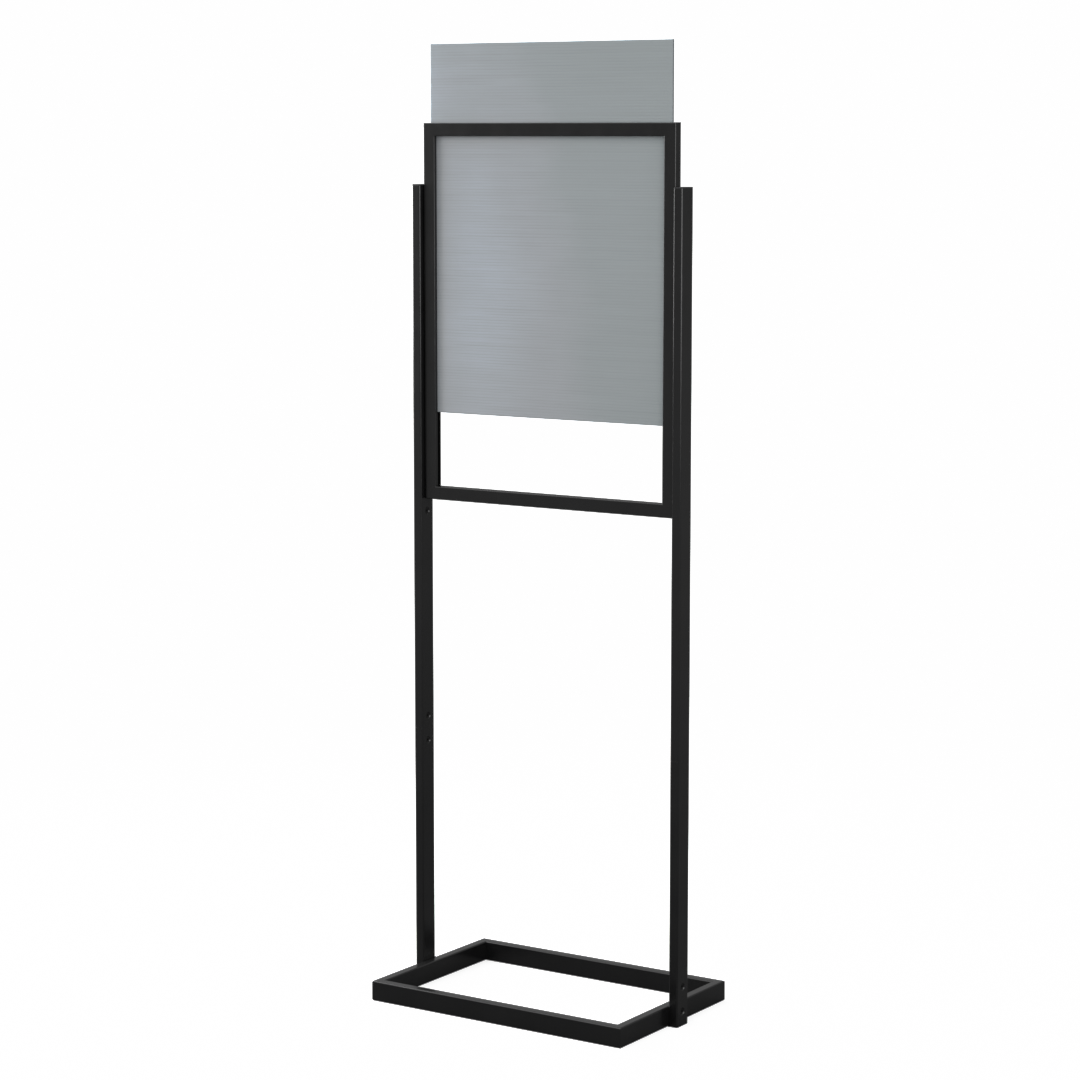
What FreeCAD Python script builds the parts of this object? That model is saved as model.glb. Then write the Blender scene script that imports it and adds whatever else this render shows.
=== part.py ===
import FreeCAD, Part
import math
import os
import Sketcher
from FreeCAD import Placement, Rotation, Vector

# Free-standing sign stand, in millimetres.
# Frame: +Z up, X across the sign, -Y the side the sign faces. The origin is on the floor at the
# centre of the rectangular base.
# A welded rectangle of steel tube is the base. Two posts of the same tube stand against its short
# sides, each made of a lower and an upper length joined by an inner connector. The sign frame hangs
# between the upper posts; a printed sheet drops into it from above.

os.makedirs("parts", exist_ok=True)
doc = FreeCAD.newDocument("sign_stand")

# ---------------------------------------------------------------------------------------------
# Driving dimensions
# ---------------------------------------------------------------------------------------------
CELLS = [
    ("base_width", 580.0, "outer width of the base, and the clear distance between the posts"),
    ("base_depth", 387.0, "outer depth of the base"),
    ("tube_thick", 19.05, "rectangular tube, short side"),
    ("tube_tall", 40.0, "rectangular tube, long side"),
    ("tube_wall", 1.5, "rectangular tube, wall"),
    ("tube_round", 3.0, "rectangular tube, outer corner radius"),
    ("end_break", 0.3, "broken edge where two tube ends meet"),
    ("joint_level", 520.0, "height of the joint between the lower and the upper post"),
    ("post_level", 1600.2, "height of the upper post's cut end"),
    ("cap_head", 3.0, "thickness of the plastic cap's head"),
    ("cap_plug", 14.0, "depth of the plastic cap's plug"),
    ("frame_gap", 2.0, "gap between the sign frame and each post"),
    ("frame_level", 983.0, "height of the sign frame's underside"),
    ("frame_tall", 739.0, "height of the sign frame"),
    ("face_wide", 25.4, "width of the sign frame's face"),
    ("frame_deep", 19.05, "depth of the sign frame"),
    ("frame_wall", 1.5, "sheet thickness of the sign frame's section"),
    ("front_lip", 8.0, "thickness of the hollow front lip"),
    ("frame_round", 1.6, "outer corner radius of the frame's section"),
    ("floor_rise", 13.4, "height of the sheet's seat above the frame's underside"),
    ("sheet_wide", 552.0, "insert sheet, width"),
    ("sheet_tall", 718.0, "insert sheet, height"),
    ("sheet_thick", 4.0, "insert sheet, thickness"),
    ("sheet_level", 1156.2, "height of the sheet's lower edge in the drawn pose"),
    ("sheet_ease", 0.35, "running gap between the sheet and the front lip"),
    ("flute_pitch", 5.6, "pitch of the insert sheet's horizontal cells"),
    ("flute_skin", 0.32, "skin and web thickness of the insert sheet"),
    ("mount_thick", 3.0, "thickness of the base's side plates"),
    ("mount_wide", 44.0, "width of the base's side plates"),
    ("spigot_tall", 100.0, "height of the upright spigots on the base"),
    ("bracket_web", 4.0, "web thickness of the spigots and connectors"),
    ("bracket_leg", 2.5, "leg thickness of the spigots and connectors"),
    ("inner_ease", 0.25, "clearance of an inner part in the tube"),
    ("connector_half", 50.0, "half length of the post connectors"),
    ("base_screw_low", 28.3, "height of the lower base screw"),
    ("base_screw_high", 76.8, "height of the upper base screw"),
    ("joint_screw_low", 493.3, "height of the joint screw in the lower post"),
    ("joint_screw_high", 543.2, "height of the joint screw in the upper post"),
    ("locate_screw", 957.6, "height of the backing bar's locating screw"),
    ("frame_screw_low", 1028.0, "height of the lowest frame screw"),
    ("frame_screw_mid", 1352.5, "height of the middle frame screw"),
    ("frame_screw_top", 1566.0, "height of the highest frame screw"),
    ("bar_thick", 5.0, "thickness of the backing bars"),
    ("bar_wide", 30.0, "width of the backing bars"),
    ("bar_low", 940.0, "height of the backing bar's lower end"),
    ("bar_long", 644.0, "length of the backing bars"),
    ("dimple_mouth", 7.5, "radius of a screw dimple at the tube's surface"),
    ("screw_head", 5.9, "radius of a countersunk screw's head"),
    ("screw_shank", 2.95, "radius of a countersunk screw's shank"),
    ("screw_reach", 14.5, "depth of a countersunk screw's end below the tube's surface"),
    ("screw_socket", 2.31, "circumradius of the hexagon socket"),
    ("thread_bore", 3.05, "radius of the threaded bores"),
    ("frame_head", 4.25, "radius of a frame screw's low head"),
    ("frame_head_tall", 2.6, "height of a frame screw's low head"),
    ("frame_shank", 2.45, "radius of a frame screw's shank"),
    ("frame_hole", 2.75, "radius of a frame screw's clearance holes"),
    ("washer_radius", 6.0, "radius of the spacing washers"),
]
VALUES = {alias: value for alias, value, note in CELLS}

dims = doc.addObject("Spreadsheet::Sheet", "dims")
for row, (alias, value, note) in enumerate(CELLS, start=1):
    dims.set("A%d" % row, note)
    dims.set("B%d" % row, str(value))
    dims.setAlias("B%d" % row, alias)
doc.recompute()


class Size:
    """A length as a weighted sum of sheet cells. It gives the expression's text and its value."""

    def __init__(self, terms=None, plain=0.0):
        self.terms = dict(terms or {})
        self.plain = plain

    def __add__(self, other):
        other = other if isinstance(other, Size) else Size(plain=float(other))
        terms = dict(self.terms)
        for alias, weight in other.terms.items():
            terms[alias] = terms.get(alias, 0.0) + weight
        return Size(terms, self.plain + other.plain)

    __radd__ = __add__

    def __mul__(self, factor):
        return Size({a: w * factor for a, w in self.terms.items()}, self.plain * factor)

    __rmul__ = __mul__

    def __neg__(self):
        return self * -1.0

    def __sub__(self, other):
        return self + (-other if isinstance(other, Size) else Size(plain=-float(other)))

    def __rsub__(self, other):
        return (-self) + other

    @property
    def value(self):
        return sum(VALUES[a] * w for a, w in self.terms.items()) + self.plain

    @property
    def text(self):
        parts = ["%.9g * dims.%s" % (w, a) for a, w in self.terms.items() if abs(w) > 1e-12]
        if abs(self.plain) > 1e-12 or not parts:
            parts.append("%.9g" % self.plain)
        return " + ".join("(%s)" % p for p in parts)


def cell(alias):
    return Size({alias: 1.0})


def fixed(number):
    return Size(plain=float(number))


def bind(obj, prop, size):
    obj.setExpression(prop, size.text)


def place(obj, x, y, z, rotation=None):
    """Put an object at x, y, z, each a Size, and keep it bound to the sheet."""
    spot = [v if isinstance(v, Size) else fixed(v) for v in (x, y, z)]
    obj.Placement = Placement(Vector(*[v.value for v in spot]), rotation or Rotation())
    for axis, v in zip("xyz", spot):
        if v.terms:
            bind(obj, ".Placement.Base." + axis, v)


# ---------------------------------------------------------------------------------------------
# Sketches and features
# ---------------------------------------------------------------------------------------------
def origin_plane(body, role):
    return next(f for f in body.Origin.OriginFeatures if f.Role == role)


def outline(body, name, role, corners):
    """A closed polygon sketch. Every corner's x and y are dimensions bound to the sheet."""
    sk = body.newObject("Sketcher::SketchObject", name)
    sk.AttachmentSupport = [(origin_plane(body, role), "")]
    sk.MapMode = "FlatFace"
    count = len(corners)
    flat = [Vector(x.value, y.value, 0) for x, y in corners]
    for i in range(count):
        sk.addGeometry(Part.LineSegment(flat[i], flat[(i + 1) % count]), False)
    for i in range(count):
        sk.addConstraint(Sketcher.Constraint("Coincident", i, 2, (i + 1) % count, 1))
    for i, (x, y) in enumerate(corners):
        for kind, size, axis, tag in (("DistanceX", x, -2, "x"), ("DistanceY", y, -1, "y")):
            if abs(size.value) < 1e-9:
                sk.addConstraint(Sketcher.Constraint("PointOnObject", i, 1, axis))
                continue
            if size.value > 0:
                made = Sketcher.Constraint(kind, -1, 1, i, 1, size.value)
                bound = size
            else:
                made = Sketcher.Constraint(kind, i, 1, -1, 1, -size.value)
                bound = -size
            at = sk.addConstraint(made)
            label = "corner%d_%s" % (i, tag)
            sk.renameConstraint(at, label)
            sk.setExpression("Constraints." + label, bound.text)
    return sk


def rectangle(body, name, role, x0, x1, y0, y1):
    return outline(body, name, role, [(x0, y0), (x1, y0), (x1, y1), (x0, y1)])


def new_body(name):
    return doc.addObject("PartDesign::Body", name)


def pad(body, name, sketch, length, backwards=False):
    made = body.newObject("PartDesign::Pad", name)
    made.Profile = sketch
    made.Length = length.value
    bind(made, "Length", length)
    made.Reversed = backwards
    doc.recompute()
    return made


def cut_through(body, name, sketch, smallest=1.0):
    """Cut a sketch through the whole body, both ways, and make sure that it removes material."""
    before = body.Shape.Volume
    made = body.newObject("PartDesign::Pocket", name)
    made.Profile = sketch
    made.Type = "ThroughAll"
    made.SideType = "Symmetric"
    doc.recompute()
    if before - body.Shape.Volume < smallest:
        raise RuntimeError("%s removed nothing from %s" % (name, body.Name))
    return made


def edges_along(shape, direction):
    names = []
    for i, edge in enumerate(shape.Edges, start=1):
        a, b = edge.Vertexes[0].Point, edge.Vertexes[-1].Point
        run = b.sub(a)
        if run.Length > 1.0 and abs(abs(run.normalize().dot(direction)) - 1.0) < 1e-6:
            names.append("Edge%d" % i)
    return names


def round_edges(body, name, base, names, radius):
    made = body.newObject("PartDesign::Fillet", name)
    made.Base = (base, names)
    made.Radius = radius.value
    bind(made, "Radius", radius)
    doc.recompute()
    return made


def cone(name, r_start, r_end, height, at, along):
    """A cone that starts at a point and runs along a direction."""
    made = doc.addObject("Part::Cone", name)
    made.Radius1, made.Radius2, made.Height = r_start.value, r_end.value, height.value
    for prop, size in (("Radius1", r_start), ("Radius2", r_end), ("Height", height)):
        bind(made, prop, size)
    place(made, at[0], at[1], at[2], Rotation(Vector(0, 0, 1), along))
    return made


def rod(name, radius, height, at, along):
    made = doc.addObject("Part::Cylinder", name)
    made.Radius, made.Height = radius.value, height.value
    bind(made, "Radius", radius)
    bind(made, "Height", height)
    place(made, at[0], at[1], at[2], Rotation(Vector(0, 0, 1), along))
    return made


def hexagon(name, circumradius, height, at, along):
    made = doc.addObject("Part::Prism", name)
    made.Polygon = 6
    made.Circumradius, made.Height = circumradius.value, height.value
    bind(made, "Circumradius", circumradius)
    bind(made, "Height", height)
    place(made, at[0], at[1], at[2], Rotation(Vector(0, 0, 1), along))
    return made


def block(name, x0, x1, y0, y1, z0, z1):
    made = doc.addObject("Part::Box", name)
    for prop, low, high in (("Length", x0, x1), ("Width", y0, y1), ("Height", z0, z1)):
        setattr(made, prop, (high - low).value)
        bind(made, prop, high - low)
    place(made, x0, y0, z0)
    return made


def fuse(name, pieces):
    made = doc.addObject("Part::MultiFuse", name)
    made.Shapes = pieces
    doc.recompute()
    return made


def cut(name, base, tools):
    """Base minus the tools."""
    made = doc.addObject("Part::Cut", name)
    made.Base = base
    made.Tool = tools[0] if len(tools) == 1 else fuse(name + "_tools", tools)
    base.recompute()
    before = base.Shape.Volume
    doc.recompute()
    if not before - made.Shape.Volume > 0.01:
        raise RuntimeError("%s removed nothing" % name)
    return made


def group(name, pieces):
    """Identical separate solids kept as one node."""
    made = doc.addObject("Part::Compound", name)
    made.Links = pieces
    doc.recompute()
    return made


NODES = []


def node(obj, label):
    obj.Label = label
    NODES.append(obj)
    return obj


# Common sizes
half_base = cell("base_width") * 0.5
half_depth = cell("base_depth") * 0.5
thick = cell("tube_thick")
tall = cell("tube_tall")
wall = cell("tube_wall")
ease = cell("inner_ease")
zero = fixed(0)


# ---------------------------------------------------------------------------------------------
# Base: four lengths of rectangular tube with mitred ends, welded into a rectangle
# ---------------------------------------------------------------------------------------------
def base_tube(name, length, x, y, turn):
    body = new_body(name + "_body")
    plan = outline(body, name + "_plan", "XY_Plane",
                   [(zero, zero), (length, zero), (length - thick, thick), (thick, thick)])
    solid = pad(body, name + "_pad", plan, tall)
    rounded = round_edges(body, name + "_round", solid, edges_along(solid.Shape, Vector(1, 0, 0)),
                          cell("tube_round"))
    bore = rectangle(body, name + "_bore", "YZ_Plane", wall, thick - wall, wall, tall - wall)
    cut_through(body, name + "_hollow", bore)
    place(body, x, y, zero, Rotation(Vector(0, 0, 1), turn))
    node(body, name)


base_tube("base_front_tube", cell("base_width"), -half_base, -half_depth, 0)
base_tube("base_right_tube", cell("base_depth"), half_base, -half_depth, 90)
base_tube("base_back_tube", cell("base_width"), half_base, half_depth, 180)
base_tube("base_left_tube", cell("base_depth"), -half_base, half_depth, 270)


# ---------------------------------------------------------------------------------------------
# Screw dimples: the tube's wall is pressed inwards to a cone that takes a countersunk head
# ---------------------------------------------------------------------------------------------
mouth = cell("dimple_mouth")
swell = wall * math.sqrt(2.0)
PRESS = fixed(4.5)     # depth of the pressed cone's small end, below the tube's surface
RIM = fixed(0.5)       # start of the pressed cone, inside the wall


def dimple_bump(name, x, z, way):
    """The pressed cone on the inside of the wall: way is the direction into the tube, +1 or -1."""
    start = x + RIM * way
    return cone(name, mouth + swell - RIM, mouth + swell - PRESS, PRESS - RIM, (start, zero, z),
                Vector(way, 0, 0))


def dimple_tools(name, x, z, way):
    """The pressed cone's hollow side, and the hole at its bottom."""
    start = x - fixed(0.5) * way
    hollow = cone(name + "_hollow", mouth + 0.5, mouth - PRESS + 0.3, PRESS + 0.2,
                  (start, zero, z), Vector(way, 0, 0))
    hole = rod(name + "_hole", cell("screw_shank") + 0.2, fixed(4.0),
               (x + fixed(3.0) * way, zero, z), Vector(way, 0, 0))
    return [hollow, hole]


def seat_tools(name, x, z, way, through):
    """The countersink and threaded bore in the bar or web behind a dimple."""
    start = x + (wall - fixed(0.3)) * way
    wide = mouth + swell - wall + 0.3 + 0.08
    sink = cone(name + "_sink", wide, wide - PRESS + wall - 0.3, PRESS - wall + 0.3,
                (start, zero, z), Vector(way, 0, 0))
    bore = rod(name + "_bore", cell("thread_bore"), through, (x + fixed(3.0) * way, zero, z),
               Vector(way, 0, 0))
    return [sink, bore]


def flat_screw(name, x, z, way):
    """Countersunk screw with a hexagon socket. Its head sits on the dimple's cone."""
    head_r, shank_r = cell("screw_head"), cell("screw_shank")
    sunk = mouth - head_r - 0.04
    head = cone(name + "_head", head_r, shank_r, head_r - shank_r, (x + sunk * way, zero, z),
                Vector(way, 0, 0))
    shank = rod(name + "_shank", shank_r, cell("screw_reach") - sunk - 1.0,
                (x + (sunk + 1.0) * way, zero, z), Vector(way, 0, 0))
    whole = fuse(name + "_whole", [head, shank])
    socket = hexagon(name + "_socket", cell("screw_socket"), fixed(2.7),
                     (x + (sunk - fixed(0.5)) * way, zero, z), Vector(way, 0, 0))
    return cut(name, whole, [socket])


def weld_nut(name, x, z, way, start):
    """Hexagonal weld nut behind a bracket's web."""
    outer = hexagon(name + "_hex", fixed(5.77), fixed(5.0), (x + start * way, zero, z),
                    Vector(way, 0, 0))
    bore = rod(name + "_bore", cell("thread_bore"), fixed(7.0),
               (x + (start - 1.0) * way, zero, z), Vector(way, 0, 0))
    return cut(name, outer, [bore])


# ---------------------------------------------------------------------------------------------
# Base plates and upright spigots, welded to the outside of the base's short sides
# ---------------------------------------------------------------------------------------------
WEB_NEAR = wall + 0.2                         # web's near face, below the tube's surface
WEB_FAR = WEB_NEAR + cell("bracket_web")
base_screws, base_nuts = [], []
for side, word in ((-1, "left"), (1, "right")):
    inner = half_base * side
    outer = (half_base + thick) * side
    tag = "base_plate_" + word
    edge_a, edge_b = inner, inner + cell("mount_thick") * side
    lo, hi = (edge_a, edge_b) if side > 0 else (edge_b, edge_a)
    body = new_body(tag + "_body")
    flat = rectangle(body, tag + "_flat", "XY_Plane", lo, hi, cell("mount_wide") * -0.5,
                     cell("mount_wide") * 0.5)
    pad(body, tag + "_pad", flat, tall)
    node(body, tag)

    # Spigot: a channel whose web stands behind the post's outer wall, and whose legs are welded
    # to the plate
    tag = "base_spigot_" + word
    near, far = outer - WEB_NEAR * side, outer - WEB_FAR * side
    back = inner + cell("mount_thick") * side
    reach = tall * 0.5 - wall - ease
    leg = cell("bracket_leg")
    body = new_body(tag + "_body")
    section = outline(body, tag + "_section", "XY_Plane",
                      [(back, -reach), (near, -reach), (near, reach), (back, reach),
                       (back, reach - leg), (far, reach - leg), (far, -reach + leg),
                       (back, -reach + leg)])
    pad(body, tag + "_pad", section, cell("spigot_tall") - 3.0)
    place(body, zero, zero, fixed(3.0))
    tools = []
    for level, alias in (("low", "base_screw_low"), ("high", "base_screw_high")):
        name = "base_%s_%s" % (word, level)
        tools += seat_tools(name + "_seat", outer, cell(alias), -side, fixed(6.0))
        base_screws.append(flat_screw(name + "_screw", outer, cell(alias), -side))
        base_nuts.append(weld_nut(name + "_nut", outer, cell(alias), -side, WEB_FAR))
    node(cut(tag + "_cut", body, tools), tag)
node(group("base_screw_group", base_screws), "base_screws")
node(group("base_nut_group", base_nuts), "base_weld_nuts")


# ---------------------------------------------------------------------------------------------
# Posts: the base's tube stood on end, long side front to back
# ---------------------------------------------------------------------------------------------
def post_tube(name, side, low, high, broken):
    """Hollow tube between two heights. broken is "top" or "bottom": the end with broken edges."""
    body = new_body(name + "_body")
    plan = rectangle(body, name + "_plan", "XY_Plane", thick * -0.5, thick * 0.5, tall * -0.5,
                     tall * 0.5)
    solid = pad(body, name + "_pad", plan, high - low)
    rounded = round_edges(body, name + "_round", solid, edges_along(solid.Shape, Vector(0, 0, 1)),
                          cell("tube_round"))
    level = (high - low).value if broken == "top" else 0.0
    names = []
    for i, edge in enumerate(rounded.Shape.Edges, start=1):
        if all(abs(v.Point.z - level) < 1e-6 for v in edge.Vertexes):
            names.append("Edge%d" % i)
    chamfer = body.newObject("PartDesign::Chamfer", name + "_break")
    chamfer.Base = (rounded, names)
    chamfer.Size = cell("end_break").value
    bind(chamfer, "Size", cell("end_break"))
    doc.recompute()
    bore = rectangle(body, name + "_bore", "XY_Plane", thick * -0.5 + wall, thick * 0.5 - wall,
                     tall * -0.5 + wall, tall * 0.5 - wall)
    cut_through(body, name + "_hollow", bore)
    place(body, (half_base + thick * 0.5) * side, zero, low)
    return body


slot_mid = (cell("front_lip") - cell("frame_wall")) * 0.5     # middle of the frame's slot
joint_screws, joint_nuts, locate_screws = [], [], []
frame_screws, frame_washers = [], []
for side, word in ((-1, "left"), (1, "right")):
    inner = half_base * side
    outer = (half_base + thick) * side

    # Lower post: dimples in its outer wall over the spigot and in its inner wall under the joint.
    # Its inner wall is cut away at the foot, where the plate stands.
    tag = "lower_post_" + word
    tube = post_tube(tag, side, zero, cell("joint_level"), "top")
    spots = [("base_low", outer, "base_screw_low", -side),
             ("base_high", outer, "base_screw_high", -side),
             ("joint", inner, "joint_screw_low", side)]
    bumps = [dimple_bump("%s_%s_bump" % (tag, s), x, cell(a), way) for s, x, a, way in spots]
    tools = []
    for s, x, a, way in spots:
        tools += dimple_tools("%s_%s" % (tag, s), x, cell(a), way)
    notch_in, notch_out = inner - fixed(1.0) * side, inner + (cell("mount_thick") + 0.3) * side
    lo, hi = (notch_in, notch_out) if side > 0 else (notch_out, notch_in)
    tools.append(block(tag + "_notch", lo, hi, tall * -0.5 - 1.0, tall * 0.5 + 1.0, fixed(-1.0),
                       tall + 0.3))
    node(cut(tag + "_cut", fuse(tag + "_pressed", [tube] + bumps), tools), tag)

    # Upper post: dimples in its inner wall over the joint and under the sign frame, and clearance
    # holes for the frame screws
    tag = "upper_post_" + word
    tube = post_tube(tag, side, cell("joint_level"), cell("post_level"), "bottom")
    spots = [("joint", inner, "joint_screw_high", side), ("locate", inner, "locate_screw", side)]
    bumps = [dimple_bump("%s_%s_bump" % (tag, s), x, cell(a), way) for s, x, a, way in spots]
    tools = []
    for s, x, a, way in spots:
        tools += dimple_tools("%s_%s" % (tag, s), x, cell(a), way)
    for s, a in (("low", "frame_screw_low"), ("mid", "frame_screw_mid"),
                 ("top", "frame_screw_top")):
        tools.append(rod("%s_%s_hole" % (tag, s), cell("frame_hole"), fixed(3.0),
                         (inner - fixed(1.0) * side, slot_mid, cell(a)), Vector(side, 0, 0)))
    node(cut(tag + "_cut", fuse(tag + "_pressed", [tube] + bumps), tools), tag)

    # Connector: a channel inside both posts, its web behind the inner wall
    tag = "post_connector_" + word
    near, far = inner + WEB_NEAR * side, inner + WEB_FAR * side
    back = outer - (wall + ease) * side
    reach = tall * 0.5 - wall - ease
    leg = cell("bracket_leg")
    body = new_body(tag + "_body")
    section = outline(body, tag + "_section", "XY_Plane",
                      [(back, -reach), (near, -reach), (near, reach), (back, reach),
                       (back, reach - leg), (far, reach - leg), (far, -reach + leg),
                       (back, -reach + leg)])
    pad(body, tag + "_pad", section, cell("connector_half") * 2.0)
    place(body, zero, zero, cell("joint_level") - cell("connector_half"))
    tools = []
    for level, alias in (("low", "joint_screw_low"), ("high", "joint_screw_high")):
        name = "joint_%s_%s" % (word, level)
        tools += seat_tools(name + "_seat", inner, cell(alias), side, fixed(6.0))
        joint_screws.append(flat_screw(name + "_screw", inner, cell(alias), side))
        joint_nuts.append(weld_nut(name + "_nut", inner, cell(alias), side, WEB_FAR))
    node(cut(tag + "_cut", body, tools), tag)

    # Backing bar: a tapped flat bar behind the upper post's inner wall, for the frame screws. One
    # countersunk screw holds it in place while the frame is fitted.
    tag = "backing_bar_" + word
    near = inner + WEB_NEAR * side
    far = near + cell("bar_thick") * side
    lo, hi = (near, far) if side > 0 else (far, near)
    bar = block(tag + "_bar", lo, hi, cell("bar_wide") * -0.5, cell("bar_wide") * 0.5,
                cell("bar_low"), cell("bar_low") + cell("bar_long"))
    tools = seat_tools(tag + "_seat", inner, cell("locate_screw"), side, fixed(6.0))
    for s, a in (("low", "frame_screw_low"), ("mid", "frame_screw_mid"),
                 ("top", "frame_screw_top")):
        name = "frame_%s_%s" % (word, s)
        tools.append(rod(name + "_tap", cell("frame_shank") + 0.05, fixed(8.0),
                         (inner + fixed(1.0) * side, slot_mid, cell(a)), Vector(side, 0, 0)))
        # Frame screw: its low head lies in the frame's slot
        web_in = inner - (cell("frame_gap") + cell("frame_wall")) * side
        head = rod(name + "_head", cell("frame_head"), cell("frame_head_tall"),
                   (web_in - cell("frame_head_tall") * side, slot_mid, cell(a)), Vector(side, 0, 0))
        shank = rod(name + "_shank", cell("frame_shank"), cell("frame_gap") + 9.5,
                    (web_in - fixed(1.0) * side, slot_mid, cell(a)), Vector(side, 0, 0))
        whole = fuse(name + "_whole", [head, shank])
        socket = hexagon(name + "_socket", fixed(1.73), fixed(2.0),
                         (web_in - (cell("frame_head_tall") + 0.5) * side, slot_mid, cell(a)),
                         Vector(side, 0, 0))
        frame_screws.append(cut(name + "_screw", whole, [socket]))
        # Washer that spaces the frame from the post
        disc = rod(name + "_disc", cell("washer_radius"), cell("frame_gap"),
                   (inner - cell("frame_gap") * side, slot_mid, cell(a)), Vector(side, 0, 0))
        hole = rod(name + "_eye", cell("frame_hole"), cell("frame_gap") + 2.0,
                   (inner - (cell("frame_gap") + 1.0) * side, slot_mid, cell(a)), Vector(side, 0, 0))
        frame_washers.append(cut(name + "_washer", disc, [hole]))
    node(cut(tag + "_cut", bar, tools), tag)
    locate_screws.append(flat_screw("locate_%s_screw" % word, inner, cell("locate_screw"), side))

    # Plastic cap in the post's open top
    tag = "post_cap_" + word
    body = new_body(tag + "_body")
    plan = rectangle(body, tag + "_plan", "XY_Plane", thick * -0.5, thick * 0.5, tall * -0.5,
                     tall * 0.5)
    head = pad(body, tag + "_head", plan, cell("cap_head"))
    rounded = round_edges(body, tag + "_round", head, edges_along(head.Shape, Vector(0, 0, 1)),
                          cell("tube_round"))
    names = []
    for i, edge in enumerate(rounded.Shape.Edges, start=1):
        if all(abs(v.Point.z - VALUES["cap_head"]) < 1e-6 for v in edge.Vertexes):
            names.append("Edge%d" % i)
    dome = round_edges(body, tag + "_crown", rounded, names, fixed(0.9))
    in_x = thick * 0.5 - wall - 0.1
    in_y = tall * 0.5 - wall - 0.1
    plug = rectangle(body, tag + "_plug_plan", "XY_Plane", -in_x, in_x, -in_y, in_y)
    pad(body, tag + "_plug", plug, cell("cap_plug"), backwards=True)
    core = rectangle(body, tag + "_core_plan", "XY_Plane", -in_x + 1.6, in_x - 1.6, -in_y + 1.6,
                     in_y - 1.6)
    before = body.Shape.Volume
    hollow = body.newObject("PartDesign::Pocket", tag + "_core")
    hollow.Profile = core
    hollow.Length = VALUES["cap_plug"]
    bind(hollow, "Length", cell("cap_plug"))
    doc.recompute()
    if before - body.Shape.Volume < 1000.0:
        raise RuntimeError("%s is not hollow" % tag)
    place(body, (half_base + thick * 0.5) * side, zero, cell("post_level"))
    node(body, tag)

node(group("joint_screw_group", joint_screws), "joint_screws")
node(group("joint_nut_group", joint_nuts), "joint_weld_nuts")
node(group("locate_screw_group", locate_screws), "backing_bar_screws")
node(group("frame_screw_group", frame_screws), "frame_screws")
node(group("frame_washer_group", frame_washers), "frame_washers")


# ---------------------------------------------------------------------------------------------
# Sign frame: a formed steel section with a hollow front lip, a slot and a thin back wall, mitred
# and welded. Along its top the slot is open: there the section is a front bar and a back strip.
# ---------------------------------------------------------------------------------------------
face = cell("face_wide")
deep = cell("frame_deep")
skin = cell("frame_wall")
lip = cell("front_lip")
half_frame = half_base - cell("frame_gap")
frame_long = half_frame * 2.0
frame_low = cell("frame_level")
frame_top = frame_low + cell("frame_tall")
TURNS = {
    # each member's own x runs along it, y from the outer edge to the inner edge, z towards the front
    "bottom": (Vector(1, 0, 0), Vector(0, 0, 1)),
    "right": (Vector(0, 0, 1), Vector(-1, 0, 0)),
    "top": (Vector(-1, 0, 0), Vector(0, 0, -1)),
    "left": (Vector(0, 0, -1), Vector(1, 0, 0)),
}


def member(name, where, length, corner, z_low, z_high, cells, rounds):
    """A mitred frame member. cells are the section's hollows as (y0, y1, z0, z1)."""
    body = new_body(name + "_body")
    plan = outline(body, name + "_plan", "XY_Plane",
                   [(zero, zero), (length, zero), (length - face, face), (face, face)])
    solid = pad(body, name + "_pad", plan, z_high - z_low)
    picked = []
    for i, edge in enumerate(solid.Shape.Edges, start=1):
        a, b = edge.Vertexes[0].Point, edge.Vertexes[-1].Point
        if abs(a.y - b.y) > 1e-6 or abs(a.z - b.z) > 1e-6:
            continue
        front = abs(a.z - (z_high - z_low).value) < 1e-6
        if (front and "front" in rounds) or (not front and "back" in rounds):
            picked.append("Edge%d" % i)
    if picked:
        radius = cell("frame_round") if "front" in rounds else fixed(0.4)
        round_edges(body, name + "_round", solid, picked, radius)
    for i, (y0, y1, z0, z1) in enumerate(cells):
        hollow = rectangle(body, "%s_cell%d" % (name, i), "YZ_Plane", y0, y1, z0 - z_low,
                           z1 - z_low)
        cut_through(body, "%s_hollow%d" % (name, i), hollow)
    along, inward = TURNS[where]
    place(body, corner[0], deep * 0.5 - z_low, corner[1],
          Rotation(along, inward, Vector(0, -1, 0), "XYZ"))
    node(body, name)


lip_cell = (skin, face - skin, deep - lip + skin, deep - skin)
slot_cell = (skin, face + 1.0, skin, deep - lip)
seat = cell("floor_rise")
member("frame_bottom_rail", "bottom", frame_long, (-half_frame, frame_low), zero, deep,
       [lip_cell, (seat, face + 1.0, skin, deep - lip),
        (skin, seat - skin, skin, deep - lip)], ("front", "back"))
for where, corner in (("right", (half_frame, frame_low)), ("left", (-half_frame, frame_top))):
    member("frame_%s_stile" % where, where, cell("frame_tall"), corner, zero, deep,
           [lip_cell, slot_cell], ("front", "back"))
member("frame_top_bar", "top", frame_long, (half_frame, frame_top), deep - lip, deep,
       [lip_cell], ("front",))
member("frame_top_strip", "top", frame_long, (half_frame, frame_top), zero, skin, [], ("back",))

# Frame screw holes through the stiles' outer walls
for side, word in ((-1, "left"), (1, "right")):
    stile = doc.getObject("frame_%s_stile_body" % word)
    NODES.remove(stile)
    stile.Label = "frame_%s_stile_section" % word
    tools = []
    for s, a in (("low", "frame_screw_low"), ("mid", "frame_screw_mid"),
                 ("top", "frame_screw_top")):
        tools.append(rod("stile_%s_%s_hole" % (word, s), cell("frame_hole"), fixed(4.0),
                         ((half_frame - cell("frame_wall") - 1.0) * side, slot_mid, cell(a)),
                         Vector(side, 0, 0)))
    node(cut("frame_%s_stile_cut" % word, stile, tools), "frame_%s_stile" % word)


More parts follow.
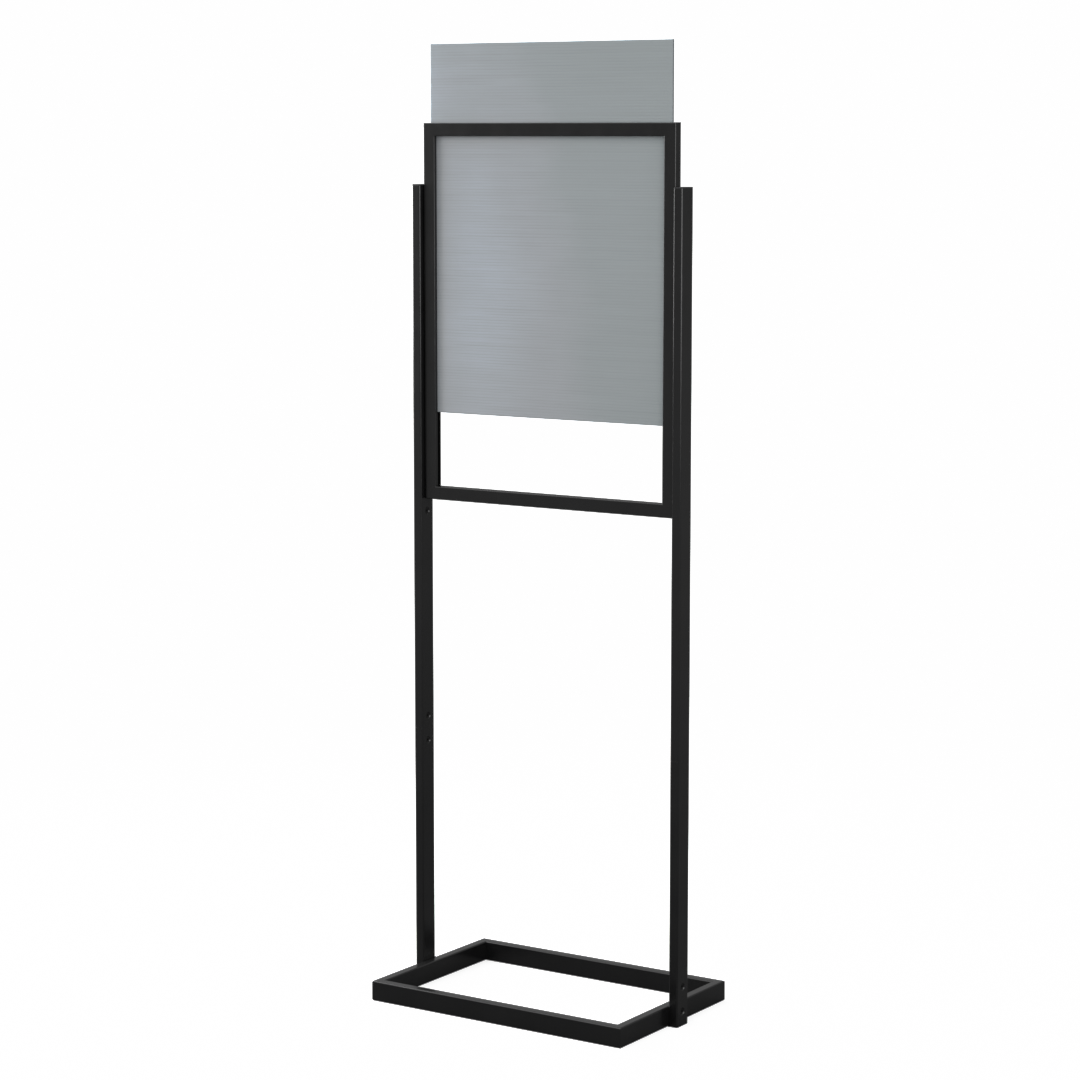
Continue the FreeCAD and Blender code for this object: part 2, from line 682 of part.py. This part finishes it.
# ---------------------------------------------------------------------------------------------
# Insert sheet: twin-wall plastic whose cells run across it. Its many equal cells are one face with
# rectangular holes, drawn at the sheet's edge and extruded across.
# ---------------------------------------------------------------------------------------------
wide, high = VALUES["sheet_wide"], VALUES["sheet_tall"]
deep_sheet, pitch, ply = VALUES["sheet_thick"], VALUES["flute_pitch"], VALUES["flute_skin"]
count = int(round(high / pitch))


def loop(y0, y1, z0, z1):
    return Part.makePolygon([Vector(0, y0, z0), Vector(0, y1, z0), Vector(0, y1, z1),
                             Vector(0, y0, z1), Vector(0, y0, z0)])


loops = [loop(0, deep_sheet, 0, high)]
step = high / count
for i in range(count):
    loops.append(loop(ply, deep_sheet - ply, i * step + ply * 0.5, (i + 1) * step - ply * 0.5))
# The lowest and highest cells keep a full web
loops[1] = loop(ply, deep_sheet - ply, ply, step - ply * 0.5)
loops[-1] = loop(ply, deep_sheet - ply, high - step + ply * 0.5, high - ply)
section = Part.Face(loops, "Part::FaceMakerBullseye")
sheet = doc.addObject("Part::Feature", "insert_sheet_body")
sheet.Shape = section.extrude(Vector(wide, 0, 0))
slot_front = cell("frame_deep") * -0.5 + cell("front_lip")
place(sheet, cell("sheet_wide") * -0.5, slot_front + cell("sheet_ease"), cell("sheet_level"))
node(sheet, "insert_sheet")

# ---------------------------------------------------------------------------------------------
# Checks and export
# ---------------------------------------------------------------------------------------------
doc.recompute()
for obj in doc.Objects:
    if "Invalid" in obj.State or "Error" in obj.State:
        raise RuntimeError("%s is not computed: %s" % (obj.Name, obj.State))
for obj in NODES:
    shape = obj.Shape
    if shape.isNull() or not shape.isValid() or not shape.Solids:
        raise RuntimeError("%s has no valid solid" % obj.Label)
for obj in NODES:
    obj.Shape.exportStep("parts/%s.step" % obj.Label)
    box = obj.Shape.BoundBox
    print("%-22s solids %2d  volume %9.0f  x %8.2f %8.2f  y %8.2f %8.2f  z %8.2f %8.2f"
          % (obj.Label, len(obj.Shape.Solids), obj.Shape.Volume, box.XMin, box.XMax, box.YMin,
             box.YMax, box.ZMin, box.ZMax))
print(len(NODES), "nodes")
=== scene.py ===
import math
import random

import bpy
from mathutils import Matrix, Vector


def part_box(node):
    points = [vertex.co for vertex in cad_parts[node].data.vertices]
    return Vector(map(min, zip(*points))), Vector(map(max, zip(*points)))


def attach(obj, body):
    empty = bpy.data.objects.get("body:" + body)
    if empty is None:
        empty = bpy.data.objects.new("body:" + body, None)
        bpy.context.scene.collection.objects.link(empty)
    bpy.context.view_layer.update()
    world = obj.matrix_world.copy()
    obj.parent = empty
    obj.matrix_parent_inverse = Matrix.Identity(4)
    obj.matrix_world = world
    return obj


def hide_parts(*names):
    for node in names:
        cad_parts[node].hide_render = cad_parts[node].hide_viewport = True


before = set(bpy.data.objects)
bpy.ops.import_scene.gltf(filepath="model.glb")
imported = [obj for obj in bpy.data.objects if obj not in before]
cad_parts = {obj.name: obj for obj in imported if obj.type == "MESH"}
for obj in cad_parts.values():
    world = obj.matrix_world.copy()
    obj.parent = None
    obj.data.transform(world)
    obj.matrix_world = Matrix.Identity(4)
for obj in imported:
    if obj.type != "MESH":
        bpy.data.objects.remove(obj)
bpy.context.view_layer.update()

MM = 0.001
STAND = "stand"
SHEET = "sheet"


# ---------------------------------------------------------------------------------------------
# Camera: the sign seen from its right front, a little above the middle of the posts
# ---------------------------------------------------------------------------------------------
cam_data = bpy.data.cameras.new("camera")
cam_data.sensor_width = 36.0
cam_data.lens = 3027.5 / 1080.0 * 36.0
cam_data.clip_start = 0.05
cam_data.clip_end = 200.0
cam_data.dof.use_dof = False
cam = bpy.data.objects.new("camera", cam_data)
bpy.context.scene.collection.objects.link(cam)
cam.location = (3.2139, -4.8558, 1.6997)
cam.rotation_euler = (math.radians(90.0 - 7.627), 0.0, math.radians(33.665))
bpy.context.scene.camera = cam


# ---------------------------------------------------------------------------------------------
# Material helpers
# ---------------------------------------------------------------------------------------------
def new_material(name):
    mat = bpy.data.materials.new(name)
    mat.use_nodes = True
    tree = mat.node_tree
    for n in list(tree.nodes):
        tree.nodes.remove(n)
    out = tree.nodes.new("ShaderNodeOutputMaterial")
    bsdf = tree.nodes.new("ShaderNodeBsdfPrincipled")
    tree.links.new(bsdf.outputs["BSDF"], out.inputs["Surface"])
    return mat, tree, bsdf


def coords(tree, scale=(1.0, 1.0, 1.0)):
    """Object coordinates in metres, stretched by scale."""
    tex = tree.nodes.new("ShaderNodeTexCoord")
    mapping = tree.nodes.new("ShaderNodeMapping")
    mapping.inputs["Scale"].default_value = scale
    tree.links.new(tex.outputs["Object"], mapping.inputs["Vector"])
    return mapping.outputs["Vector"]


def noise(tree, vector, scale, detail=3.0, roughness=0.55, distortion=0.0):
    n = tree.nodes.new("ShaderNodeTexNoise")
    n.inputs["Scale"].default_value = scale
    n.inputs["Detail"].default_value = detail
    n.inputs["Roughness"].default_value = roughness
    n.inputs["Distortion"].default_value = distortion
    tree.links.new(vector, n.inputs["Vector"])
    return n.outputs["Fac"]


def ramp(tree, fac, stops):
    """Colour ramp; stops are (position, (r, g, b)) or (position, grey)."""
    r = tree.nodes.new("ShaderNodeValToRGB")
    els = r.color_ramp.elements
    while len(els) < len(stops):
        els.new(0.5)
    for el, (pos, col) in zip(els, stops):
        el.position = pos
        if not hasattr(col, "__len__"):
            col = (col, col, col)
        el.color = (col[0], col[1], col[2], 1.0)
    tree.links.new(fac, r.inputs["Fac"])
    return r.outputs["Color"]


def span(tree, fac, low, high, a=0.0, b=1.0):
    """fac from a..b to low..high."""
    m = tree.nodes.new("ShaderNodeMapRange")
    m.inputs["From Min"].default_value = a
    m.inputs["From Max"].default_value = b
    m.inputs["To Min"].default_value = low
    m.inputs["To Max"].default_value = high
    m.clamp = True
    tree.links.new(fac, m.inputs["Value"])
    return m.outputs["Result"]


def math_node(tree, op, a, b=None):
    m = tree.nodes.new("ShaderNodeMath")
    m.operation = op
    for i, v in enumerate((a, b)):
        if v is None:
            continue
        if isinstance(v, (int, float)):
            m.inputs[i].default_value = v
        else:
            tree.links.new(v, m.inputs[i])
    return m.outputs[0]


def mix_colour(tree, fac, a, b, kind="MIX"):
    m = tree.nodes.new("ShaderNodeMix")
    m.data_type = "RGBA"
    m.blend_type = kind
    for key, v in (("Factor", fac), ("A", a), ("B", b)):
        sock = next(s for s in m.inputs if s.name == key and s.enabled)
        if isinstance(v, (int, float)):
            sock.default_value = v
        elif isinstance(v, tuple):
            sock.default_value = (v[0], v[1], v[2], 1.0)
        else:
            tree.links.new(v, sock)
    return next(s for s in m.outputs if s.enabled)


def bump(tree, height, distance, strength=1.0, normal=None):
    b = tree.nodes.new("ShaderNodeBump")
    b.inputs["Strength"].default_value = strength
    b.inputs["Distance"].default_value = distance
    tree.links.new(height, b.inputs["Height"])
    if normal is not None:
        tree.links.new(normal, b.inputs["Normal"])
    return b.outputs["Normal"]


# ---------------------------------------------------------------------------------------------
# Materials
# ---------------------------------------------------------------------------------------------
def powder_coat():
    """Satin black powder coat: orange peel, a fine dry grain, faint streaks of unequal gloss."""
    mat, tree, bsdf = new_material("satin_black_powder_coat")
    v = coords(tree)
    tone = noise(tree, v, 9.0, detail=4.0)
    fleck = noise(tree, v, 900.0, detail=2.0)
    base = ramp(tree, tone, [(0.30, (0.0056, 0.0056, 0.0058)), (0.70, (0.0080, 0.0080, 0.0082))])
    speck = ramp(tree, fleck, [(0.60, (0.0, 0.0, 0.0)), (0.85, (0.006, 0.006, 0.006))])
    colour = mix_colour(tree, 1.0, base, speck, "ADD")
    tree.links.new(colour, bsdf.inputs["Base Color"])
    streak_v = coords(tree, (60.0, 60.0, 6.0))
    streak = noise(tree, streak_v, 1.0, detail=3.0)
    blotch = noise(tree, v, 28.0, detail=3.0)
    both = math_node(tree, "ADD", math_node(tree, "MULTIPLY", streak, 0.5),
                     math_node(tree, "MULTIPLY", blotch, 0.5))
    tree.links.new(span(tree, both, 0.19, 0.26, 0.3, 0.7), bsdf.inputs["Roughness"])
    bsdf.inputs["IOR"].default_value = 1.5
    bsdf.inputs["Specular IOR Level"].default_value = 0.5
    peel = noise(tree, v, 380.0, detail=2.0, roughness=0.45)
    grain = noise(tree, v, 2600.0, detail=2.0, roughness=0.6)
    n1 = bump(tree, peel, 0.00006, 0.5)
    n2 = bump(tree, grain, 0.000012, 0.5, n1)
    tree.links.new(n2, bsdf.inputs["Normal"])
    return mat


def black_oxide():
    """Oiled black oxide on a machined screw: slightly warm, with fine turning marks."""
    mat, tree, bsdf = new_material("black_oxide_screw")
    v = coords(tree)
    tone = noise(tree, v, 420.0, detail=4.0)
    base = ramp(tree, tone, [(0.25, (0.005, 0.005, 0.0055)), (0.75, (0.011, 0.0105, 0.010))])
    tree.links.new(base, bsdf.inputs["Base Color"])
    bsdf.inputs["Specular IOR Level"].default_value = 0.20
    fine = noise(tree, v, 3200.0, detail=2.0)
    tree.links.new(span(tree, tone, 0.44, 0.58, 0.3, 0.7), bsdf.inputs["Roughness"])
    tree.links.new(bump(tree, fine, 0.00002, 0.6), bsdf.inputs["Normal"])
    return mat


def zinc_steel():
    """Zinc-plated steel of the hidden parts: rolling marks along Z and a mottled plating."""
    mat, tree, bsdf = new_material("zinc_plated_steel")
    v = coords(tree)
    drawn = noise(tree, coords(tree, (1500.0, 1500.0, 30.0)), 1.0, detail=3.0)
    mottle = noise(tree, v, 90.0, detail=5.0, roughness=0.6)
    both = math_node(tree, "ADD", math_node(tree, "MULTIPLY", drawn, 0.45),
                     math_node(tree, "MULTIPLY", mottle, 0.55))
    base = ramp(tree, both, [(0.30, (0.34, 0.34, 0.36)), (0.72, (0.52, 0.52, 0.53))])
    tree.links.new(base, bsdf.inputs["Base Color"])
    bsdf.inputs["Metallic"].default_value = 1.0
    tree.links.new(span(tree, both, 0.28, 0.48, 0.3, 0.7), bsdf.inputs["Roughness"])
    tree.links.new(bump(tree, drawn, 0.00002, 0.5), bsdf.inputs["Normal"])
    return mat


def moulded_black(name, tone_low, tone_high, rough_low, rough_high, spark):
    """Spark-eroded black plastic."""
    mat, tree, bsdf = new_material(name)
    v = coords(tree)
    tone = noise(tree, v, 60.0, detail=3.0)
    base = ramp(tree, tone, [(0.3, tone_low), (0.7, tone_high)])
    tree.links.new(base, bsdf.inputs["Base Color"])
    bsdf.inputs["Specular IOR Level"].default_value = 0.35
    tree.links.new(span(tree, tone, rough_low, rough_high, 0.3, 0.7), bsdf.inputs["Roughness"])
    grain = noise(tree, v, spark, detail=3.0, roughness=0.65)
    tree.links.new(bump(tree, grain, 0.00005, 0.6), bsdf.inputs["Normal"])
    return mat


def sheet_plastic(low, high):
    """Blue-grey twin-wall polypropylene. Each cell takes the light a little differently, so fine
    uneven lines run along the cells. Painted shade darkens the cut edges, and a painted lighter patch stands
    in for light from the left."""
    mat, tree, bsdf = new_material("grey_twin_wall_plastic")
    v = coords(tree)
    pitch = (high[2] - low[2]) / round((high[2] - low[2]) / (5.6 * MM))
    tex = tree.nodes.new("ShaderNodeTexCoord")
    sep = tree.nodes.new("ShaderNodeSeparateXYZ")
    tree.links.new(tex.outputs["Object"], sep.inputs["Vector"])
    # one tone per cell, drifting slowly along its length
    cells = noise(tree, coords(tree, (3.0, 1.0, 1.0 / pitch)), 0.9, detail=1.0, roughness=0.7)
    cloud = noise(tree, v, 4.0, detail=2.0)
    # painted light: a lighter, more neutral patch left of the middle in the lower part of the sheet stands in
    # for light and sheen from the left; the cloud noise adds random tone
    lit_patch_distance = tree.nodes.new("ShaderNodeVectorMath")
    lit_patch_distance.operation = "DISTANCE"
    tree.links.new(coords(tree, (1.0, 0.0, 0.55)), lit_patch_distance.inputs[0])
    lit_patch_distance.inputs[1].default_value = (-0.20, 0.0, 0.55 * (low[2] + 0.25 * (high[2] - low[2])))
    middle = span(tree, lit_patch_distance.outputs["Value"], 1.0, 0.0, 0.04, 0.50)
    cloud_and_lit_patch = math_node(tree, "ADD", math_node(tree, "MULTIPLY", middle, 0.6),
                    math_node(tree, "MULTIPLY", cloud, 0.4))
    base = ramp(tree, cloud_and_lit_patch, [(0.18, (0.284, 0.315, 0.323)), (0.42, (0.296, 0.324, 0.335)),
                            (0.58, (0.334, 0.350, 0.367)), (0.80, (0.371, 0.390, 0.409))])
    tint = ramp(tree, cells, [(0.28, 0.975), (0.50, 1.0), (0.72, 1.022)])
    colour = mix_colour(tree, 1.0, base, tint, "MULTIPLY")
    # the webs show through the skin as thin darker lines, stronger here and weaker there
    turns = math_node(tree, "DIVIDE", math_node(tree, "SUBTRACT", sep.outputs["Z"], low[2]), pitch)
    off = math_node(tree, "PINGPONG", turns, 0.5)
    strength = noise(tree, coords(tree, (7.0, 1.0, 0.55 / pitch)), 1.0, detail=2.0, roughness=0.6)
    line = math_node(tree, "MULTIPLY", span(tree, off, 1.0, 0.0, 0.04, 0.20),
                     span(tree, strength, 0.15, 1.0, 0.35, 0.68))
    colour = mix_colour(tree, math_node(tree, "MULTIPLY", line, 0.42), colour,
                        (0.215, 0.245, 0.262))
    # distance to the sheet's cut edges, in metres
    dx = math_node(tree, "MINIMUM", math_node(tree, "SUBTRACT", sep.outputs["X"], low[0]),
                   math_node(tree, "SUBTRACT", high[0], sep.outputs["X"]))
    dz = math_node(tree, "MINIMUM", math_node(tree, "SUBTRACT", sep.outputs["Z"], low[2]),
                   math_node(tree, "SUBTRACT", high[2], sep.outputs["Z"]))
    # painted shade: the skin is darkened within about a millimetre of the cut edges, standing in for the
    # shaded cut faces
    painted_edge_shade = span(tree, math_node(tree, "MINIMUM", dx, dz), 1.0, 0.0, 0.0003, 0.0012)
    colour = mix_colour(tree, painted_edge_shade, colour, (0.270, 0.298, 0.315))
    tree.links.new(colour, bsdf.inputs["Base Color"])
    tree.links.new(span(tree, cells, 0.49, 0.58, 0.3, 0.7), bsdf.inputs["Roughness"])
    bsdf.inputs["Specular IOR Level"].default_value = 0.5
    fine = noise(tree, v, 1400.0, detail=2.0)
    tree.links.new(bump(tree, fine, 0.00002, 0.5), bsdf.inputs["Normal"])
    return mat


sheet_low, sheet_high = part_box("insert_sheet")
M_POWDER = powder_coat()
M_SCREW = black_oxide()
M_STEEL = zinc_steel()
M_CAP = moulded_black("moulded_cap_plastic", (0.010, 0.010, 0.011), (0.016, 0.016, 0.017), 0.42, 0.56, 1800.0)
M_WASHER = moulded_black("black_nylon", (0.016, 0.016, 0.016), (0.026, 0.026, 0.027), 0.45, 0.6, 1200.0)
M_SHEET = sheet_plastic(sheet_low, sheet_high)

BY_SLOT = {"powder_coat": M_POWDER, "screw_black": M_SCREW, "inner_steel": M_STEEL,
           "cap_plastic": M_CAP, "washer_plastic": M_WASHER, "sheet_plastic": M_SHEET}


def paint(obj, mat):
    obj.data.materials.clear()
    obj.data.materials.append(mat)


for name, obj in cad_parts.items():
    slot_name = obj.data.materials[0].name.split(".")[0]
    paint(obj, BY_SLOT[slot_name])


# ---------------------------------------------------------------------------------------------
# Insert sheet: two skins and the open cells that run across it between them
# ---------------------------------------------------------------------------------------------
def mesh_object(name, verts, faces, mat, smooth=True):
    me = bpy.data.meshes.new(name)
    me.from_pydata([tuple(p) for p in verts], [], faces)
    me.update()
    for poly in me.polygons:
        poly.use_smooth = smooth
    obj = bpy.data.objects.new(name, me)
    bpy.context.scene.collection.objects.link(obj)
    me.materials.append(mat)
    return obj


def build_sheet():
    rng = random.Random(41)
    x0, y0, z0 = (c / MM for c in sheet_low)
    x1, y1, z1 = (c / MM for c in sheet_high)
    cells = int(round((z1 - z0) / 5.6))
    pitch = (z1 - z0) / cells
    skin = 0.34
    # across one cell: share of the pitch, and how far the skin lies below its crown
    prof = [(0.0, 1.0), (0.055, 0.72), (0.12, 0.34), (0.24, 0.10), (0.5, 0.0),
            (0.76, 0.10), (0.88, 0.34), (0.945, 0.72)]
    n = len(prof)
    xs = [x0, x0 + 0.5, x0 + 1.2]
    steps = 16
    xs += [x0 + (x1 - x0) * i / steps for i in range(1, steps)]
    xs += [x1 - 1.2, x1 - 0.5, x1]
    nx = len(xs)
    rows = cells * n + 1
    sink = {}
    for side in (0, 1):
        for k in range(cells + 1):
            depth = 0.085 * (0.75 + 0.5 * rng.random())
            phase, wave = rng.uniform(0, 6.283), rng.uniform(0.008, 0.020)
            sink[side, k] = (depth, phase, wave)
    verts, faces = [], []

    def skin_y(side, r, x):
        k, i = divmod(r, n)
        share, low = prof[i]
        d0, p0, w0 = sink[side, min(k, cells - 1)]
        d1 = sink[side, min(k + 1, cells)][0]
        depth = d0 * (1 - share) + d1 * share
        inset = depth * low + w0 * (1 + math.sin(x / 83.0 + p0)) * (1 - low)
        z = z0 + (k + share) * pitch
        edge = min(x - x0, x1 - x, z - z0, z1 - z)
        if edge < 1.2:
            inset += 0.16 * (1 - edge / 1.2) ** 2
        return y0 + inset if side == 0 else y1 - inset

    index = {}
    for side in (0, 1):
        for r in range(rows):
            k, i = divmod(r, n)
            z = z0 + (k + prof[i][0]) * pitch
            for c, x in enumerate(xs):
                index[side, r, c] = len(verts)
                verts.append(Vector((x, skin_y(side, r, x), z)) * MM)
    for side in (0, 1):
        for r in range(rows - 1):
            for c in range(nx - 1):
                q = [index[side, r, c], index[side, r, c + 1],
                     index[side, r + 1, c + 1], index[side, r + 1, c]]
                faces.append(q if side == 0 else q[::-1])
    for r, flip in ((0, False), (rows - 1, True)):
        for c in range(nx - 1):
            q = [index[0, r, c], index[1, r, c], index[1, r, c + 1], index[0, r, c + 1]]
            faces.append(q[::-1] if flip else q)
    # the tunnels, their mouths and the cut ends of skins and webs
    web = 0.17
    for k in range(cells):
        za = z0 + k * pitch + (0.34 if k == 0 else web)
        zb = z0 + (k + 1) * pitch - (0.34 if k == cells - 1 else web)
        loop = []
        for end, x in ((0, x0), (1, x1)):
            ring = {}
            for side, y in ((0, y0 + skin), (1, y1 - skin)):
                for i in range(n + 1):
                    share = prof[i][0] if i < n else 1.0
                    z = min(max(z0 + (k + share) * pitch, za), zb)
                    if i in (0, n):
                        z = za if i == 0 else zb
                    else:
                        z = za + (zb - za) * share
                    ring[side, i] = len(verts)
                    verts.append(Vector((x, y, z)) * MM)
            loop.append(ring)
        a, b = loop
        for i in range(n):
            faces.append([a[0, i], a[0, i + 1], b[0, i + 1], b[0, i]])
            faces.append([a[1, i], b[1, i], b[1, i + 1], a[1, i + 1]])
        faces.append([a[0, 0], b[0, 0], b[1, 0], a[1, 0]])
        faces.append([a[0, n], a[1, n], b[1, n], b[0, n]])
        for end, c in ((0, 0), (1, nx - 1)):
            ring = loop[end]
            for i in range(n):
                r = k * n + i
                q = [index[0, r, c], index[0, r + 1, c], ring[0, i + 1], ring[0, i]]
                p = [index[1, r, c], ring[1, i], ring[1, i + 1], index[1, r + 1, c]]
                faces.append(q if end == 0 else q[::-1])
                faces.append(p if end == 0 else p[::-1])
            # web halves below and above the mouth, across the thickness
            lo = [index[0, k * n, c], ring[0, 0], ring[1, 0], index[1, k * n, c]]
            hi = [index[0, (k + 1) * n, c], index[1, (k + 1) * n, c], ring[1, n], ring[0, n]]
            faces.append(lo if end == 0 else lo[::-1])
            faces.append(hi if end == 0 else hi[::-1])
    obj = mesh_object("insert_sheet_twin_wall", verts, faces, M_SHEET, smooth=False)
    for poly in obj.data.polygons[: 2 * (rows - 1) * (nx - 1)]:
        poly.use_smooth = True
    return obj


sheet = build_sheet()
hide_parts("insert_sheet")
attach(sheet, SHEET)


# ---------------------------------------------------------------------------------------------
# Stage: pale floor, soft studio light
# ---------------------------------------------------------------------------------------------
def floor_material():
    """Pale floor that runs out softly into the pale surroundings. In the coat's reflections it is as
    dim as the rest of the studio."""
    mat, tree, bsdf = new_material("pale_floor")
    v = coords(tree)
    tone = noise(tree, v, 0.8, detail=2.0)
    tree.links.new(ramp(tree, tone, [(0.3, (0.215, 0.215, 0.215)), (0.7, (0.225, 0.225, 0.225))]),
                   bsdf.inputs["Base Color"])
    bsdf.inputs["Roughness"].default_value = 0.9
    bsdf.inputs["Specular IOR Level"].default_value = 0.0
    bsdf.inputs["Emission Color"].default_value = (1.0, 1.0, 1.0, 1.0)
    bsdf.inputs["Emission Strength"].default_value = 0.42
    dim = tree.nodes.new("ShaderNodeBsdfDiffuse")
    dim.inputs["Color"].default_value = (0.11, 0.11, 0.11, 1.0)
    path = tree.nodes.new("ShaderNodeLightPath")
    seen = tree.nodes.new("ShaderNodeMixShader")
    tree.links.new(path.outputs["Is Camera Ray"], seen.inputs[0])
    tree.links.new(dim.outputs["BSDF"], seen.inputs[1])
    tree.links.new(bsdf.outputs["BSDF"], seen.inputs[2])
    length = tree.nodes.new("ShaderNodeVectorMath")
    length.operation = "LENGTH"
    tree.links.new(v, length.inputs[0])
    fade = tree.nodes.new("ShaderNodeMapRange")
    fade.interpolation_type = "SMOOTHSTEP"
    fade.inputs["From Min"].default_value = 1.0
    fade.inputs["From Max"].default_value = 3.4
    tree.links.new(length.outputs["Value"], fade.inputs["Value"])
    clear = tree.nodes.new("ShaderNodeBsdfTransparent")
    pick = tree.nodes.new("ShaderNodeMixShader")
    tree.links.new(fade.outputs["Result"], pick.inputs[0])
    tree.links.new(seen.outputs[0], pick.inputs[1])
    tree.links.new(clear.outputs["BSDF"], pick.inputs[2])
    out = next(n for n in tree.nodes if n.type == "OUTPUT_MATERIAL")
    tree.links.new(pick.outputs[0], out.inputs["Surface"])
    return mat


def make_floor():
    radius, spokes = 4.0, 64
    rings = [0.0, 0.5, 1.0, 1.6, 2.3, 3.1, radius]
    verts, faces = [Vector((0, 0, 0))], []
    for r in rings[1:]:
        for i in range(spokes):
            a = 2 * math.pi * i / spokes
            verts.append(Vector((r * math.cos(a), r * math.sin(a), 0)))
    for i in range(spokes):
        faces.append([0, 1 + i, 1 + (i + 1) % spokes])
    for j in range(len(rings) - 2):
        s0, s1 = 1 + j * spokes, 1 + (j + 1) * spokes
        for i in range(spokes):
            k = (i + 1) % spokes
            faces.append([s0 + i, s1 + i, s1 + k, s0 + k])
    obj = mesh_object("floor", verts, faces, floor_material(), smooth=False)
    obj.location.z = -0.0002
    return obj


make_floor()


def area_light(name, place, target, size, power, colour=(1, 1, 1)):
    data = bpy.data.lights.new(name, "AREA")
    data.shape = "RECTANGLE"
    data.size, data.size_y = size
    data.energy = power
    data.color = colour
    obj = bpy.data.objects.new(name, data)
    bpy.context.scene.collection.objects.link(obj)
    obj.location = place
    obj.rotation_euler = (Vector(target) - Vector(place)).to_track_quat("-Z", "Y").to_euler()
    obj.visible_camera = False
    return obj


sun_data = bpy.data.lights.new("soft_top", "SUN")
sun_data.energy = 1.55
sun_data.angle = math.radians(75)
sun = bpy.data.objects.new("soft_top", sun_data)
bpy.context.scene.collection.objects.link(sun)
sun.rotation_euler = Vector((0.22, 0.42, -0.88)).to_track_quat("-Z", "Y").to_euler()

# Upright soft boxes that start about a metre above the floor, on the right and on the left
area_light("right_box", (2.44, -0.80, 1.82), (0.0, 0.0, 1.82), (3.4, 1.45), 50.0)
area_light("left_box", (-2.60, 0.09, 1.84), (0.0, 0.0, 1.84), (3.2, 1.45), 94.0)
area_light("front_box", (-2.1, -1.15, 1.75), (0.0, 0.0, 1.75), (0.7, 1.2), 6.5)

world = bpy.data.worlds.new("studio")
bpy.context.scene.world = world
world.use_nodes = True
wt = world.node_tree
for node in list(wt.nodes):
    wt.nodes.remove(node)
w_out = wt.nodes.new("ShaderNodeOutputWorld")
w_tex = wt.nodes.new("ShaderNodeTexCoord")
w_sep = wt.nodes.new("ShaderNodeSeparateXYZ")
wt.links.new(w_tex.outputs["Generated"], w_sep.inputs["Vector"])
w_ramp = wt.nodes.new("ShaderNodeValToRGB")
els = w_ramp.color_ramp.elements
stops = [(0.30, 0.16), (0.42, 0.31), (0.46, 0.37), (0.50, 0.26), (0.54, 0.29), (0.605, 0.62), (1.0, 0.50)]
while len(els) < len(stops):
    els.new(0.5)
for el, (pos, g) in zip(els, stops):
    el.position = pos
    el.color = (g, g, g, 1)
# darker behind the sign than in front of it
w_back = wt.nodes.new("ShaderNodeMapRange")
w_back.inputs["From Min"].default_value = -0.7
w_back.inputs["From Max"].default_value = 0.8
w_back.inputs["To Min"].default_value = 1.0
w_back.inputs["To Max"].default_value = 0.62
wt.links.new(w_sep.outputs["Y"], w_back.inputs["Value"])
half = wt.nodes.new("ShaderNodeMath")
half.operation = "MULTIPLY_ADD"
half.inputs[1].default_value = 0.5
half.inputs[2].default_value = 0.5
wt.links.new(w_sep.outputs["Z"], half.inputs[0])
wt.links.new(half.outputs[0], w_ramp.inputs["Fac"])
studio = wt.nodes.new("ShaderNodeBackground")
wt.links.new(w_ramp.outputs["Color"], studio.inputs["Color"])
wt.links.new(w_back.outputs["Result"], studio.inputs["Strength"])
white = wt.nodes.new("ShaderNodeBackground")
white.inputs["Color"].default_value = (1.0, 1.0, 1.0, 1.0)
white.inputs["Strength"].default_value = 0.63
path = wt.nodes.new("ShaderNodeLightPath")
pick = wt.nodes.new("ShaderNodeMixShader")
wt.links.new(path.outputs["Is Camera Ray"], pick.inputs[0])
wt.links.new(studio.outputs[0], pick.inputs[1])
wt.links.new(white.outputs[0], pick.inputs[2])
wt.links.new(pick.outputs[0], w_out.inputs["Surface"])

view = bpy.context.scene.view_settings
view.view_transform = "Standard"
view.look = "None"
view.exposure = 0.0
view.gamma = 1.0
view.use_curve_mapping = True
curve = view.curve_mapping.curves[3]
for at, to in ((0.05, 0.05), (0.25, 0.25), (0.38, 0.39), (0.60, 0.99)):
    curve.points.new(at, to)
for point in curve.points:
    point.handle_type = "AUTO_CLAMPED"
view.curve_mapping.extend = "HORIZONTAL"
view.curve_mapping.update()
